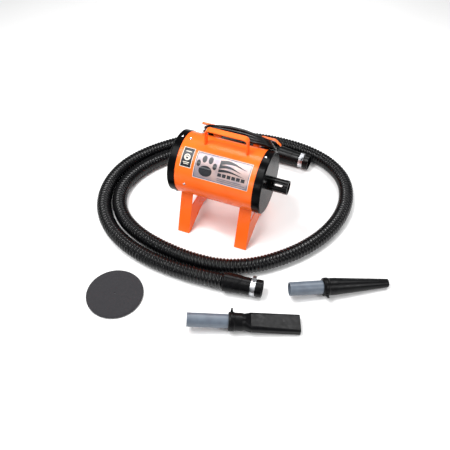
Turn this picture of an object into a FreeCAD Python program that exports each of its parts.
"""Forced-air pet dryer with its hose, two nozzles and filter disc, laid out on a floor.

Millimetres, +Z up.  The dryer is modelled about its own centre: X runs along the drum
towards the air outlet, Y to the back, and the floor is Z = 0.  At the end everything is
moved so that the origin is the middle of the footprint (free cords left out) on the floor.
"""
import FreeCAD
import Part
import math
import os

V = FreeCAD.Vector
X, Y, Z = V(1, 0, 0), V(0, 1, 0), V(0, 0, 1)
SHAPES = {}

# ---------------------------------------------------------------- driving dimensions
CAP_R = 84.0            # outside radius of the end caps
DRUM_R = 82.7           # outside radius of the drum sheet
SHEET = 1.2             # drum and cap sheet thickness
DRUM_HALF = 107.0       # half length of the painted drum between the caps
CAP_END = 128.5         # end faces of the caps, from the drum's middle
AXIS_Z = 176.0          # height of the drum's axis
CAP_CREASE = 4.0        # rounding of the cap's outer edge

TUBE_R = 17.5           # outside radius of both nozzle tubes
OUTLET_R = 18.5         # outside radius of the outlet tube
TUBE_WALL = 1.8
TUBE_STEP = 0.4         # a nozzle tube is turned down this much where its rubber tip grips it
TUBE_SEAT = -8.0        # a nozzle tube's step and its end inside the tip, along the nozzle
TUBE_INNER_END = 27.5
OUTLET_END = 180.0      # mouth of the outlet tube
LIP_LEN = 11.0          # the outlet tube's last stretch is thicker
LIP_STEP = 0.4
SLOT_X = (137.0, 166.5)  # catch slot right through the outlet tube, and its angle above the front
SLOT_W = 6.0
SLOT_ANGLE = 48.0

FOOT_Y = 100.0          # half distance between front and rear feet
LEG_X = (-101.4, 67.4)  # left edge of each leg's flanges
FLANGE_W = 34.0
LEG_T = 2.0
CONTACT = 45.5          # angle below horizontal where a flange meets the drum
WEB_TOP = 82.0
ARCH_RISE = 22.0

HANDLE_X = (-49.0, 67.5)
HANDLE_TOP = 129.4      # above the drum's axis
HANDLE_W = 17.0
HANDLE_T = 2.6
HANDLE_BEND = 10.0

HOOK_TILT = 50.0        # cord hooks stand this far behind the top of the drum
HOOK_W = 16.0
HOOK_T = 5.0
EAR_Z = (110.2, 111.5)  # height of the left and right ears, from the drum's axis
CORD_D = 7.4            # mains cord
HANK_X = (-84.0, 122.0)
HANK_FOLD_R = 25.4      # centreline radius of the inner turns' folds
HANK_STEP = 8.5         # from the inner turns to the outer ones
HANK_LOW = 84.6         # underside of the hank, from the drum's axis
HANK_TOP = [(-84.0, 106.0), (-5.0, 115.0), (72.0, 114.5), (122.0, 94.0)]    # (x, height of its back)

HOSE_D = 42.0
HOSE_WALL = 1.5
CUFF_R = (26.0, 22.6)   # hose end and mouth end
CUFF_LEN = 101.0
CUFF_BORE = 19.0

TIP_W = 50.0            # flat nozzle: width and thickness of the tip
TIP_T = 20.0
COLLAR_R = 23.0
BEAD_R = 23.9
CONE_END_R = 11.3

DISC_AT = V(-161.0, -358.6, 0)
DISC_R = 74.0
DISC_T = 8.0

# Route of the air hose on the floor, from the front cuff round the outside of the
# dryer, right round it once more on the inside, and to the cuff behind it.
HOSE_XY = [
    (92, -235), (30, -241), (-45, -242), (-122, -235), (-195, -217), (-262, -184),
    (-316, -135), (-350, -75), (-364, -5), (-355, 67), (-325, 130), (-280, 188),
    (-225, 240), (-158, 283), (-80, 315), (5, 333), (92, 337), (172, 325),
    (240, 293), (290, 243), (315, 175), (316, 100), (296, 25), (258, -45),
    (205, -107), (140, -160), (65, -191), (-15, -198), (-95, -190), (-170, -170),
    (-237, -135), (-287, -82), (-309, -15), (-299, 55), (-266, 118), (-220, 175),
    (-160, 225), (-85, 262), (-5, 281), (70, 283),
]
FRONT_CUFF_TURN = 7.2    # direction of the cuffs' mouths, from +X
REAR_CUFF_TURN = -3.8

# Mains cord between its gland and the hank, and between the hank and the plug.
GLAND_X = -117.0
GLAND_TILT = 110.0       # behind the top of the drum
GLAND_LEN = 32.0
LEAD_MID = [(-117, 130.6, 128.5), (-104, 150, 123), (-79, 160, 129), (-56, 154, 147)]
LEAD_NEAR = (-46, 138, 167)
LEAD_IN_X = -44.0
TAIL_OUT_X = 70.0
TAIL_MID = [(71, 128, 168), (73, 133, 147)]
PLUG_AT = V(74, 134, 127)
PLUG_R = 11.0
PLUG_LEN = 42.0


# ---------------------------------------------------------------- helpers
def tube(r_out, r_in, x0, x1):
    """Hollow cylinder along X about the drum's axis height 0."""
    body = Part.makeCylinder(r_out, x1 - x0, V(x0, 0, 0), X)
    if r_in > 0:
        body = body.cut(Part.makeCylinder(r_in, x1 - x0 + 2, V(x0 - 1, 0, 0), X))
    return body


def block(x0, x1, y0, y1, z0, z1):
    return Part.makeBox(x1 - x0, y1 - y0, z1 - z0, V(x0, y0, z0))


def revolved(profile):
    """Solid of revolution about X from (x, radius) points."""
    face = Part.Face(Part.makePolygon([V(x, 0, r) for x, r in profile + profile[:1]]))
    return face.revolve(V(0, 0, 0), X, 360)


def prism(points, x0, x1):
    """Solid from (y, z) points, between two X planes."""
    face = Part.Face(Part.makePolygon([V(x0, y, z) for y, z in points + points[:1]]))
    return face.extrude(V(x1 - x0, 0, 0))


def lifted(shape):
    """From drum-axis coordinates to floor coordinates."""
    moved = shape.copy()
    moved.translate(V(0, 0, AXIS_Z))
    return moved


def tilted(shape, angle):
    """Turn a shape that stands on top of the drum backwards round its axis."""
    moved = shape.copy()
    moved.rotate(V(0, 0, 0), X, -angle)
    return lifted(moved)


def radial(angle):
    """Unit vector that points out of the drum, from straight up, turned backwards."""
    a = math.radians(angle)
    return V(0, math.sin(a), math.cos(a))


def rounded_path(points, report=None):
    """Straight runs with tangent arcs, each as large as its two runs allow."""
    points = [V(*p) for p in points]
    edges, start, radii = [], points[0], []
    for a, b, c in zip(points, points[1:], points[2:]):
        before, after = (b - a), (c - b)
        turn = before.getAngle(after)
        cut = 0.45 * min(before.Length, after.Length)
        radii.append(cut / math.tan(turn / 2))
        d0, d1 = V(before).normalize(), V(after).normalize()
        p0, p1 = b - d0 * cut, b + d1 * cut
        middle = b + (d1 - d0).normalize() * (radii[-1] / math.cos(turn / 2) - radii[-1])
        edges.append(Part.LineSegment(start, p0).toShape())
        edges.append(Part.Arc(p0, middle, p1).toShape())
        start = p1
    edges.append(Part.LineSegment(start, points[-1]).toShape())
    wire = Part.Wire(edges)
    if report:
        print(report, "length", round(wire.Length, 1), "smallest radii",
              [round(r) for r in sorted(radii)[:4]])
    return wire


def swept(wire, radius):
    start = wire.OrderedVertexes[0].Point
    direction = wire.OrderedEdges[0].tangentAt(wire.OrderedEdges[0].FirstParameter)
    if wire.OrderedEdges[0].valueAt(wire.OrderedEdges[0].FirstParameter).distanceToPoint(start) > 0.01:
        direction = direction * -1
    ring = Part.Wire(Part.Circle(start, direction, radius).toShape())
    return wire.makePipeShell([ring], True, False)


def strap(path_points, bend, width, thick):
    """Flat bar bent along (x, z) points, its width along Y."""
    pts = [V(x, 0, z) for x, z in path_points]
    edges, start = [], pts[0]
    for a, b, c in zip(pts, pts[1:], pts[2:]):
        turn = (b - a).getAngle(c - b)
        cut = bend * math.tan(turn / 2)
        d0, d1 = (b - a).normalize(), (c - b).normalize()
        p0, p1 = b - d0 * cut, b + d1 * cut
        middle = b + (d1 - d0).normalize() * (bend / math.cos(turn / 2) - bend)
        edges.append(Part.LineSegment(start, p0).toShape())
        edges.append(Part.Arc(p0, middle, p1).toShape())
        start = p1
    edges.append(Part.LineSegment(start, pts[-1]).toShape())
    side = (pts[1] - pts[0]).normalize().cross(Y) * (thick / 2)
    half = Y * (width / 2)
    corners = [pts[0] + side + half, pts[0] + side - half, pts[0] - side - half, pts[0] - side + half]
    return Part.Wire(edges).makePipeShell([Part.makePolygon(corners + corners[:1])], True, True)


# ---------------------------------------------------------------- drum and end caps
SCREW_ANGLES = (0.0, 135.0, 225.0)      # from straight up, turned backwards
SCREW_X = 114.0
RIVETS = {"top_rivet": (-91.0, 0.0), "front_rivet": (-78.0, 270.0), "rear_rivet": (-78.0, 90.0)}


def pin_hole(x, angle, radius):
    out = radial(angle)
    return Part.makeCylinder(radius, 12, V(x, 0, 0) + out * (DRUM_R - 6), out)


def fastener(x, angle, seat, head_r, head_h, shank_r, shank):
    """Domed head on the surface at radius seat, with its shank inwards."""
    out = radial(angle)
    base = V(x, 0, 0) + out * seat
    head = Part.makeCylinder(head_r, head_h, base, out)
    head = head.makeFillet(head_h * 0.7, [head.Edges[0] if head.Edges[0].CenterOfMass.distanceToPoint(
        base + out * head_h) < 0.01 else head.Edges[2]])
    return lifted(head.fuse(Part.makeCylinder(shank_r, shank, base - out * shank, out)).removeSplitter())


def make_drum():
    shell = tube(DRUM_R, DRUM_R - SHEET, -124.0, 124.0)
    for side in (-1, 1):
        for angle in SCREW_ANGLES:
            shell = shell.cut(pin_hole(side * SCREW_X, angle, 1.95))
    for x, angle in RIVETS.values():
        shell = shell.cut(pin_hole(x, angle, 2.0))
    out = radial(GLAND_TILT)
    gland = Part.makeCylinder(6.1, 20, V(GLAND_X, 0, 0) + out * (DRUM_R - 8), out)
    SHAPES["drum_shell"] = lifted(shell.cut(gland))
    for name, (x, angle) in RIVETS.items():
        SHAPES[name] = fastener(x, angle, DRUM_R, 3.3, 1.6, 2.0, 4.0)
    for end, side in (("inlet", -1), ("outlet", 1)):
        for number, angle in enumerate(SCREW_ANGLES, 1):
            SHAPES["%s_cap_screw_%d" % (end, number)] = fastener(
                side * SCREW_X, angle, CAP_R, 3.5, 1.9, 1.9, 5.0)


def cap_blank():
    """Cap on the outlet side, closed."""
    outer = Part.makeCylinder(CAP_R, CAP_END - DRUM_HALF, V(DRUM_HALF, 0, 0), X)
    rim = [e for e in outer.Edges if e.CenterOfMass.distanceToPoint(V(CAP_END, 0, 0)) < 0.01]
    outer = outer.makeFillet(CAP_CREASE, rim)
    depth = CAP_END - SHEET
    inner = Part.makeCylinder(DRUM_R + 0.1, depth - DRUM_HALF + 1, V(DRUM_HALF - 1, 0, 0), X)
    rim = [e for e in inner.Edges if e.CenterOfMass.distanceToPoint(V(depth, 0, 0)) < 0.01]
    cap = outer.cut(inner.makeFillet(CAP_CREASE - SHEET, rim))
    for angle in SCREW_ANGLES:
        cap = cap.cut(pin_hole(SCREW_X, angle, 1.95))
    return cap


EYE_R = 50.0             # air inlet in the inlet cap
SWITCH_Z = 66.0          # power switch, above the drum's axis
SWITCH_HALF = (8.1, 7.3)


def make_caps():
    outlet = cap_blank().cut(tube(OUTLET_R + 0.1, 0, CAP_END - 5, CAP_END + 5))
    SHAPES["outlet_end_cap"] = lifted(outlet)
    inlet = cap_blank().mirror(V(0, 0, 0), X)
    inlet = inlet.cut(tube(EYE_R, 0, -CAP_END - 5, -CAP_END + 5))
    y, z = SWITCH_HALF
    inlet = inlet.cut(block(-CAP_END - 2, -CAP_END + 4, -y, y, SWITCH_Z - z, SWITCH_Z + z))
    out = radial(GLAND_TILT)
    inlet = inlet.cut(Part.makeCylinder(6.1, 20, V(GLAND_X, 0, 0) + out * (CAP_R - 10), out))
    SHAPES["inlet_end_cap"] = lifted(inlet)


def make_grille():
    x0, x1 = -CAP_END - 2.6, -CAP_END
    guard = tube(EYE_R + 5, EYE_R - 2, x0, x1)
    for r in (39.0, 27.0, 15.0):
        guard = guard.fuse(tube(r, r - 2.6, x0, x1))
    guard = guard.fuse(tube(7.0, 0, x0, x1))
    for k in range(6):
        bar = block(x0, x1, -1.4, 1.4, 5.0, EYE_R)
        bar.rotate(V(0, 0, 0), X, 60 * k + 30)
        guard = guard.fuse(bar)
    SHAPES["inlet_grille"] = lifted(guard.removeSplitter())


def make_outlet():
    bore = OUTLET_R - TUBE_WALL
    spigot = tube(OUTLET_R, bore, CAP_END - 6, OUTLET_END)
    spigot = spigot.fuse(tube(OUTLET_R + LIP_STEP, bore, OUTLET_END - LIP_LEN, OUTLET_END))
    spigot = spigot.fuse(tube(OUTLET_R + 4, bore, CAP_END - 6, CAP_END - SHEET - 0.2)).removeSplitter()
    slot = block(SLOT_X[0] + SLOT_W / 2, SLOT_X[1] - SLOT_W / 2, -SLOT_W / 2, SLOT_W / 2, -25, 25)
    for x in (SLOT_X[0] + SLOT_W / 2, SLOT_X[1] - SLOT_W / 2):
        slot = slot.fuse(Part.makeCylinder(SLOT_W / 2, 50, V(x, 0, -25), Z))
    slot.rotate(V(0, 0, 0), X, 90 - SLOT_ANGLE)
    SHAPES["outlet_tube"] = lifted(spigot.cut(slot))


# ---------------------------------------------------------------- power switch
ROCK = 10.0              # the rocker rests this far to one side


def make_switch():
    y, z = SWITCH_HALF
    x_face = -CAP_END
    bezel = block(x_face - 2.2, x_face, -12, 12, SWITCH_Z - 9, SWITCH_Z + 9)
    edges = [e for e in bezel.Edges if abs(e.CenterOfMass.x - (x_face - 1.1)) < 0.01]
    bezel = bezel.makeFillet(2.5, edges)
    bezel = bezel.fuse(block(x_face, x_face + 17, -y + 0.1, y - 0.1, SWITCH_Z - z + 0.1, SWITCH_Z + z - 0.1))
    pocket = block(x_face - 3, x_face + 8, -y + 1.1, y - 1.1, SWITCH_Z - z + 1.1, SWITCH_Z + z - 1.1)
    SHAPES["switch_body"] = lifted(bezel.cut(pocket))
    pivot = V(x_face + 1.5, 0, SWITCH_Z)
    lift, low, half = 6.0, 4.9, 5.0
    top = [(pivot.x + 3, SWITCH_Z - half), (pivot.x - low, SWITCH_Z - half), (pivot.x - lift + 1.6, SWITCH_Z),
           (pivot.x - low, SWITCH_Z + half), (pivot.x + 3, SWITCH_Z + half)]
    outline = Part.makePolygon([V(px, -6.4, pz) for px, pz in top + top[:1]])
    rocker = Part.Face(outline).extrude(V(0, 12.8, 0))
    rocker.rotate(pivot, Y, ROCK)
    SHAPES["switch_rocker"] = lifted(rocker)


# ---------------------------------------------------------------- handle, legs, labels
def make_handle():
    z = HANDLE_TOP - HANDLE_T / 2
    x0, x1 = HANDLE_X[0] + HANDLE_T / 2, HANDLE_X[1] - HANDLE_T / 2
    bar = strap([(x0, 70), (x0, z), (x1, z), (x1, 70)], HANDLE_BEND, HANDLE_W, HANDLE_T)
    SHAPES["handle_strap"] = lifted(bar.cut(tube(DRUM_R + 0.05, 0, -120, 120)))


def make_leg(name, x0):
    reach = math.radians(CONTACT)
    top = V(0, -DRUM_R * math.cos(reach), AXIS_Z - DRUM_R * math.sin(reach))
    lean = (FOOT_Y + top.y) / top.z
    x1 = x0 + FLANGE_W

    def front(z, inset=0.0):
        return (-(FOOT_Y - lean * z) + inset, z)

    high = top.z + 6
    leg = prism([front(0), front(0, LEG_T), front(high, LEG_T), front(high)], x0, x1)
    leg = leg.fuse(leg.mirror(V(0, 0, 0), Y))
    shoulder = front(WEB_TOP)[0]
    foot, knee = -FOOT_Y, -22.0
    knee_z = ARCH_RISE - 3.0
    outline = [(foot, 0), (-82, 0), (knee, knee_z), (-12, ARCH_RISE - 0.8), (0, ARCH_RISE),
               (12, ARCH_RISE - 0.8), (-knee, knee_z), (82, 0), (-foot, 0),
               (-shoulder, WEB_TOP), (shoulder, WEB_TOP)]
    leg = leg.fuse(prism(outline, x1 - LEG_T, x1)).removeSplitter()
    SHAPES[name] = leg.cut(lifted(tube(DRUM_R + 0.05, 0, -120, 120)))


def plate(x0, x1, low, high, lift, thick):
    """Curved plate on the drum's front, between two angles above horizontal."""
    r0, r1 = DRUM_R + lift, DRUM_R + lift + thick
    corners = [V(x0, -r0, 0), V(x1, -r0, 0), V(x1, -r1, 0), V(x0, -r1, 0), V(x0, -r0, 0)]
    face = Part.Face(Part.makePolygon(corners))
    sheet = face.revolve(V(0, 0, 0), X, -(high - low))
    sheet.rotate(V(0, 0, 0), X, -low)
    return lifted(sheet)


def make_labels():
    SHAPES["rating_plate"] = plate(-56.3, 93.7, 20.4, 69.0, 0.05, 0.5)
    SHAPES["emblem_plate"] = plate(-95.1, -63.7, 34.1, 70.6, 0.05, 0.5)


# ---------------------------------------------------------------- cord hooks and mains cord
def hook_mask(x_root, x_tip):
    """Plan outline of a hook, with a round tip."""
    r = HOOK_W / 2
    sign = 1 if x_tip > x_root else -1
    centre = x_tip - sign * r
    low, high = sorted((x_root - sign * 30, centre))
    return block(low, high, -r - 1, r + 1, 0, 200).fuse(Part.makeCylinder(r, 200, V(centre, 0, 0), Z))


def make_hooks():
    foot = DRUM_R - 0.4 + HOOK_T / 2
    drum = tube(DRUM_R + 0.05, 0, -120, 120)
    left = strap([(-34, foot), (-53, foot), (-53, EAR_Z[0]), (-99, EAR_Z[0])], 5.0, HOOK_W, HOOK_T)
    SHAPES["left_cord_hook"] = tilted(left.common(hook_mask(-53, -95)).cut(drum), HOOK_TILT)
    tip = (131, EAR_Z[1] - 10.5)
    right = strap([(57, foot), (76, foot), (76, EAR_Z[1]), (113, EAR_Z[1]), tip], 5.0, HOOK_W, HOOK_T)
    SHAPES["right_cord_hook"] = tilted(right.common(hook_mask(90, 130.5)).cut(drum), HOOK_TILT)


def slot_prism(centres, radius, z0, z1):
    """Round-ended block between two centres on X."""
    a, b = centres
    body = block(a, b, -radius, radius, z0, z1)
    for x in centres:
        body = body.fuse(Part.makeCylinder(radius, z1 - z0, V(x, 0, z0), Z))
    return body.removeSplitter()


def hank_place(x, rho, s):
    """Point at radius rho above the hooks' plane of symmetry, s behind it."""
    out, back = radial(HOOK_TILT), radial(HOOK_TILT + 90)
    return V(x, 0, AXIS_Z) + out * rho + back * s


def make_cord():
    outer = HANK_FOLD_R + HANK_STEP + CORD_D / 2
    inner = HANK_FOLD_R - CORD_D / 2
    centres = (HANK_X[0] + outer, HANK_X[1] - outer)
    ring = slot_prism(centres, outer, HANK_LOW, 130)
    ring = ring.cut(slot_prism(centres, inner, HANK_LOW - 1, 131))
    back = [V(x, 0, z) for x, z in HANK_TOP]
    sides = [back[2], back[3], V(HANK_X[1], 0, 70), V(HANK_X[0], 0, 70), back[0]]
    lines = [Part.LineSegment(a, b).toShape() for a, b in zip(sides, sides[1:])]
    profile = Part.Face(Part.Wire([Part.Arc(*back[:3]).toShape()] + lines))
    profile.translate(V(0, -100, 0))
    hank = ring.common(profile.extrude(V(0, 200, 0)))
    for x0, x1, ear in ((-110, -50, EAR_Z[0]), (74, 140, EAR_Z[1])):
        hank = hank.cut(block(x0, x1, -HOOK_W / 2 - 1, HOOK_W / 2 + 1, ear - HOOK_T / 2 - 0.3, 125))
    SHAPES["power_hank"] = tilted(hank, HOOK_TILT)

    out = radial(GLAND_TILT)
    root = V(GLAND_X, 0, AXIS_Z) + out * CAP_R
    gland = Part.makeCylinder(9.0, 4, root + out * 0.4, out)
    gland = gland.fuse(Part.makeCone(7.5, 5.2, GLAND_LEN - 4.4, root + out * 4.4, out))
    gland = gland.fuse(Part.makeCylinder(6.0, 6.4, root - out * 6, out))
    SHAPES["cord_gland"] = gland.removeSplitter()
    start = root + out * GLAND_LEN

    rho = HANK_LOW + CORD_D / 2 + 0.3
    entry = hank_place(LEAD_IN_X, rho, outer)
    lead = rounded_path([tuple(start)] + LEAD_MID + [LEAD_NEAR, tuple(hank_place(LEAD_IN_X, rho, outer + 22)),
                                                     tuple(entry)], "mains lead")
    SHAPES["power_lead"] = swept(lead, CORD_D / 2)
    leave = hank_place(TAIL_OUT_X, rho, outer)
    tail = rounded_path([tuple(leave), tuple(hank_place(TAIL_OUT_X, rho, outer + 19))] + TAIL_MID
                        + [tuple(PLUG_AT)], "mains tail")
    SHAPES["power_tail"] = swept(tail, CORD_D / 2)


def make_plug():
    down = Z * -1
    body = Part.makeCone(5.2, 6.6, 14, PLUG_AT, down)
    body = body.fuse(Part.makeCylinder(PLUG_R, PLUG_LEN - 16, PLUG_AT + down * 16, down))
    body = body.fuse(Part.makeCone(6.6, PLUG_R, 2, PLUG_AT + down * 14, down)).removeSplitter()
    SHAPES["plug_body"] = body
    face = PLUG_AT + down * PLUG_LEN
    for name, dy in (("plug_blade_line", -6.35), ("plug_blade_neutral", 6.35)):
        y = face.y + dy
        SHAPES[name] = block(face.x - 3.2, face.x + 3.2, y - 0.8, y + 0.8, face.z - 17, face.z)
    pin = Part.makeCylinder(2.4, 19, face + V(7.0, 0, 0), down)
    SHAPES["plug_earth_pin"] = pin


# ---------------------------------------------------------------- blower motor
FAN_R = 68.0
FAN_X = (-66.0, -12.0)
CAN_R = 44.0
CAN_X = (-12.0, 70.0)
SHAFT_R = 4.0
BEARING_GAP = 0.03


def make_motor():
    wall = 1.5
    fan = tube(FAN_R, FAN_R - wall, *FAN_X)
    fan = fan.fuse(tube(FAN_R, 24.0, FAN_X[0], FAN_X[0] + wall))
    fan = fan.fuse(tube(FAN_R, 12.0, FAN_X[1] - wall, FAN_X[1]))
    for k in range(10):
        port = block(FAN_X[0] + 34, FAN_X[1] - 6, -6, 6, FAN_R - 4, FAN_R + 2)
        port.rotate(V(0, 0, 0), X, 36 * k)
        fan = fan.cut(port)
    SHAPES["fan_casing"] = lifted(fan.removeSplitter())

    can = tube(CAN_R, CAN_R - wall, *CAN_X)
    can = can.fuse(tube(CAN_R, 11.0, CAN_X[1] - wall, CAN_X[1]))
    for k in range(6):
        vent = block(CAN_X[1] - 3, CAN_X[1] + 1, -5, 5, 20, 36)
        vent.rotate(V(0, 0, 0), X, 60 * k)
        can = can.cut(vent)
    SHAPES["motor_can"] = lifted(can.removeSplitter())

    field = tube(CAN_R - wall - 0.05, 26.0, 8.0, 46.0)
    SHAPES["motor_field"] = lifted(field)

    for name, x0 in (("front_bearing", -10.0), ("rear_bearing", CAN_X[1] - 9.0)):
        SHAPES[name] = lifted(tube(11.0, SHAFT_R + BEARING_GAP, x0, x0 + 7))
    seat = tube(CAN_R - wall - 0.05, 11.0, -11.8, -6.0)
    seat = seat.cut(tube(12.0, 0, -13, -10.05))
    SHAPES["front_bearing_plate"] = lifted(seat.fuse(tube(13, 11.0, -6, -3.0)))

    SHAPES["rotor_shaft"] = lifted(tube(SHAFT_R, 0, -62.0, CAN_X[1] + 5))
    SHAPES["armature"] = lifted(tube(25.0, SHAFT_R, 10.0, 44.0))
    SHAPES["commutator"] = lifted(tube(14.0, SHAFT_R, 46.5, 57.0))
    wheel = tube(60.0, SHAFT_R, -24.0, -22.4).fuse(tube(60.0, 26.0, -46.0, -44.6))
    wheel = wheel.fuse(tube(9.0, SHAFT_R, -50.0, -22.4))
    for k in range(7):
        vane = block(-44.8, -23.9, 0, 1.4, 27.0, 59.5)
        vane.rotate(V(0, 0, 40), X, 32)
        vane = vane.common(tube(60.0, 26.5, -50, -20))
        vane.rotate(V(0, 0, 0), X, 360 / 7 * k)
        wheel = wheel.fuse(vane)
    SHAPES["impeller"] = lifted(wheel.removeSplitter())

    inner = DRUM_R - SHEET
    SHAPES["fan_mount_ring"] = lifted(tube(inner, FAN_R, -62.0, -50.0))
    rear = tube(inner, CAN_R, 52.0, 55.0)
    for k in range(6):
        gap = block(51, 56, -15, 15, CAN_R + 6, inner - 6)
        gap.rotate(V(0, 0, 0), X, 60 * k)
        rear = rear.cut(gap)
    SHAPES["rear_mount_ring"] = lifted(rear)


# ---------------------------------------------------------------- hose, cuffs and clamps
def make_cuff(name, x, y, turn):
    """Cuff with its hose end at (x, y) and its mouth towards turn degrees from +X."""
    r0, r1 = CUFF_R
    band = r1 - 0.9
    seat = 46.0
    profile = [(0, r0 - 1.2), (2, r0), (seat, r0 - 2.4), (seat + 0.8, r0 - 3.0),
               (69, r1), (70, band), (84.5, band),
               (85.5, r1), (CUFF_LEN - 1.2, r1), (CUFF_LEN, r1 - 1.2)]
    solid = revolved([(0, 0)] + profile + [(CUFF_LEN, 0)])
    bore = Part.makeCylinder(CUFF_BORE, 68.0, V(CUFF_LEN - 67.0, 0, 0), X)
    hose_bore = Part.makeCylinder(HOSE_D / 2 - HOSE_WALL, 32.0, V(1.5, 0, 0), X)
    throat = Part.makeCylinder(HOSE_D / 2 - HOSE_WALL, 4.0, V(-2, 0, 0), X)
    cuff = solid.cut(bore).cut(hose_bore).cut(throat)
    clamp = tube(band + 0.9, band + 0.05, 71.0, 83.5)
    lump = block(72.5, 82.0, -8.5, 8.5, band, band + 6.0)
    clamp = clamp.fuse(lump.cut(tube(band + 0.3, 0, 60, 95)))
    clamp = clamp.cut(Part.makeCylinder(3.05, 30, V(77.25, -15, band + 3.0), Y)).removeSplitter()
    screw = Part.makeCylinder(3.0, 18.5, V(77.25, -9.0, band + 3.0), Y)
    head = Part.makeCylinder(4.4, 4.0, V(77.25, -13.0, band + 3.0), Y)
    head = head.cut(block(76.6, 77.9, -13.5, -11.6, band - 3, band + 9))
    screw = screw.fuse(head).removeSplitter()
    for piece, shape in (("cuff", cuff), ("clamp_band", clamp), ("clamp_screw", screw)):
        moved = shape.copy()
        roll = -35.0 if name == "front" else 20.0
        moved.rotate(V(0, 0, 0), X, roll)
        moved.rotate(V(0, 0, 0), Z, turn)
        moved.translate(V(x, y, r0 + 0.2))
        SHAPES["%s_%s" % (name, piece)] = moved


def make_hose():
    rise = CUFF_R[0] + 0.2
    flat = HOSE_D / 2
    route = [(x, y, flat) for x, y in HOSE_XY]
    for end, near, low in ((0, 1, 2), (-1, -2, -3)):
        route[end] = route[end][:2] + (rise,)
        route[near] = route[near][:2] + (rise - 1.2,)
        route[low] = route[low][:2] + (flat + 0.8,)
    wire = rounded_path(route, "air hose")
    hose = swept(wire, HOSE_D / 2)
    core = swept(wire, HOSE_D / 2 - HOSE_WALL)
    hose = hose.cut(core)
    section = math.pi * (HOSE_D * HOSE_WALL - HOSE_WALL ** 2)
    print("hose volume", round(hose.Volume), "section x length", round(section * wire.Length))
    SHAPES["air_hose"] = hose
    make_cuff("front", *HOSE_XY[0], FRONT_CUFF_TURN)
    make_cuff("rear", *HOSE_XY[-1], REAR_CUFF_TURN)


# ---------------------------------------------------------------- nozzles and filter
def lay_down(pieces, at, turn, droop):
    """Lay a nozzle built along +X with its collar bead at x = 0 on the floor."""
    for shape in pieces.values():
        shape.rotate(V(0, 0, 0), Y, droop)
        shape.rotate(V(0, 0, 0), Z, turn)
    low = min(shape.optimalBoundingBox(False).ZMin for shape in pieces.values())
    for name, shape in pieces.items():
        shape.translate(at + V(0, 0, -low))
        SHAPES[name] = shape


def collar(r_end):
    """Outside of a nozzle's rubber collar, ending at radius r_end at x = 34."""
    return [(-7, COLLAR_R - 1.5), (-5.5, BEAD_R - 0.6), (-3, BEAD_R), (-2.4, BEAD_R - 1.2),
            (3.4, BEAD_R - 1.2), (4, BEAD_R), (7, BEAD_R - 0.4), (9, COLLAR_R - 0.8),
            (26, COLLAR_R - 0.8), (34, r_end)]


def nozzle_tube(length):
    """Grey tube whose free part has the full radius, stepped down inside its tip."""
    bore = TUBE_R - TUBE_WALL
    return tube(TUBE_R, bore, -length, TUBE_SEAT).fuse(tube(GRIP_R, bore, TUBE_SEAT, TUBE_INNER_END))


def zip_tie(head_turn):
    band = tube(BEAD_R + 0.1, BEAD_R - 1.1, -2.0, 3.0)
    head = block(-2.6, 3.6, -3.2, 3.2, BEAD_R - 0.6, BEAD_R + 4.4)
    tail = block(-1.8, 2.8, -0.7, 0.7, BEAD_R + 4.4, BEAD_R + 10.5)
    tie = band.fuse(head.cut(tube(BEAD_R - 0.5, 0, -5, 5))).fuse(tail)
    tie.rotate(V(0, 0, 0), X, head_turn)
    return tie.removeSplitter()


GRIP_R = TUBE_R - TUBE_STEP
GRIP_GAP = 0.1
FLAT_AT, FLAT_TURN = V(152.0, -339.0, 0), 21.1
FLAT_TUBE_LEN, FLAT_TIP_LEN = 108.0, 135.0
CONE_AT, CONE_TURN = V(338.0, -156.7, 0), 28.5
CONE_TUBE_LEN, CONE_LEN = 93.0, 133.0


def oblong(x, width, thick, radius):
    """Rectangle with rounded corners across the nozzle at x, as a wire."""
    w, t = width / 2 - radius, thick / 2 - radius
    edges, last = [], None
    for cy, cz, a0 in ((w, t, 0), (-w, t, 90), (-w, -t, 180), (w, -t, 270), (w, t, 360)):
        p = [V(x, cy + radius * math.cos(math.radians(a)), cz + radius * math.sin(math.radians(a)))
             for a in (a0, a0 + 45, a0 + 90)]
        if last is not None:
            edges.append(Part.LineSegment(last, p[0]).toShape())
        if a0 < 360:
            edges.append(Part.Arc(*p).toShape())
        last = p[2]
    return Part.Wire(edges)


def make_flat_nozzle():
    droop = math.degrees(math.atan2(BEAD_R - TIP_T / 2, 34 + FLAT_TIP_LEN))
    wall = 2.0
    x0, x1, x2 = 32.0, 48.0, 34.0 + FLAT_TIP_LEN
    outside = [oblong(x0, 40.0, 40.0, 18.0), oblong(x1, TIP_W, 24.0, 9.0), oblong(x2, TIP_W, TIP_T, 5.0)]
    inside = [oblong(26.0, 33.0, 33.0, 14.0), oblong(x1, TIP_W - 2 * wall, 24.0 - 2 * wall, 7.0),
              oblong(x2 + 1, TIP_W - 2 * wall, TIP_T - 2 * wall, 3.0)]
    rim = collar(COLLAR_R - 2.5)
    tip = revolved([(rim[0][0], 0)] + rim + [(rim[-1][0], 0)]).fuse(Part.makeLoft(outside, True, True))
    tip = tip.cut(Part.makeLoft(inside, True, True)).cut(tube(GRIP_R + GRIP_GAP, 0, -10, 28.0))
    pieces = {"flat_nozzle_tip": tip, "flat_nozzle_tube": nozzle_tube(FLAT_TUBE_LEN),
              "flat_nozzle_tie": zip_tie(-38)}
    lay_down(pieces, FLAT_AT, FLAT_TURN, droop)


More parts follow.
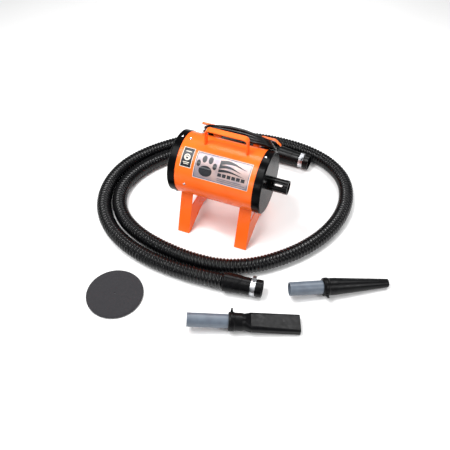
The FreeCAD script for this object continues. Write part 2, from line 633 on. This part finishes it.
def make_cone_nozzle():
    droop = math.degrees(math.atan2(BEAD_R - CONE_END_R, 34 + CONE_LEN))
    wall = 2.0
    x2 = 34.0 + CONE_LEN
    profile = collar(COLLAR_R - 1.6) + [(x2 - 1, CONE_END_R), (x2, CONE_END_R - 0.8), (x2, CONE_END_R - wall),
                                        (34, COLLAR_R - 1.6 - wall), (28, GRIP_R - 0.6),
                                        (28, GRIP_R + GRIP_GAP), (-7, GRIP_R + GRIP_GAP)]
    pieces = {"cone_nozzle_tip": revolved(profile), "cone_nozzle_tube": nozzle_tube(CONE_TUBE_LEN),
              "cone_nozzle_tie": zip_tie(90)}
    lay_down(pieces, CONE_AT, CONE_TURN, droop)


def make_filter():
    disc = Part.makeCylinder(DISC_R, DISC_T, DISC_AT)
    disc = disc.cut(Part.makeCylinder(1.6, DISC_T + 2, DISC_AT - Z))
    SHAPES["filter_disc"] = disc


# ---------------------------------------------------------------- whole set
CORD_NODES = ("power_lead", "power_hank", "power_tail", "plug_body", "plug_blade_line", "plug_blade_neutral",
              "plug_earth_pin", "air_hose", "front_cuff", "rear_cuff", "front_clamp_band", "rear_clamp_band",
              "front_clamp_screw", "rear_clamp_screw")


def footprint_middle():
    boxes = [s.optimalBoundingBox(False) for n, s in SHAPES.items() if n not in CORD_NODES]
    x = (min(b.XMin for b in boxes) + max(b.XMax for b in boxes)) / 2
    y = (min(b.YMin for b in boxes) + max(b.YMax for b in boxes)) / 2
    return V(x, y, 0)


def main():
    make_drum()
    make_caps()
    make_grille()
    make_outlet()
    make_switch()
    make_handle()
    for name, x0 in zip(("left_leg", "right_leg"), LEG_X):
        make_leg(name, x0)
    make_labels()
    make_hooks()
    make_cord()
    make_plug()
    make_motor()
    make_hose()
    make_flat_nozzle()
    make_cone_nozzle()
    make_filter()
    middle = footprint_middle()
    print("footprint middle", middle, "nodes", len(SHAPES))
    os.makedirs("parts", exist_ok=True)
    for name, shape in SHAPES.items():
        shape.translate(middle * -1)
        box = shape.BoundBox
        ok = shape.isValid() and len(shape.Solids) == 1
        print("%-22s %s solids %d z %.1f..%.1f vol %.1f" % (name, "ok " if ok else "BAD", len(shape.Solids),
                                                        box.ZMin, box.ZMax, shape.Volume / 1000))
        shape.exportStep("parts/%s.step" % name)


main()
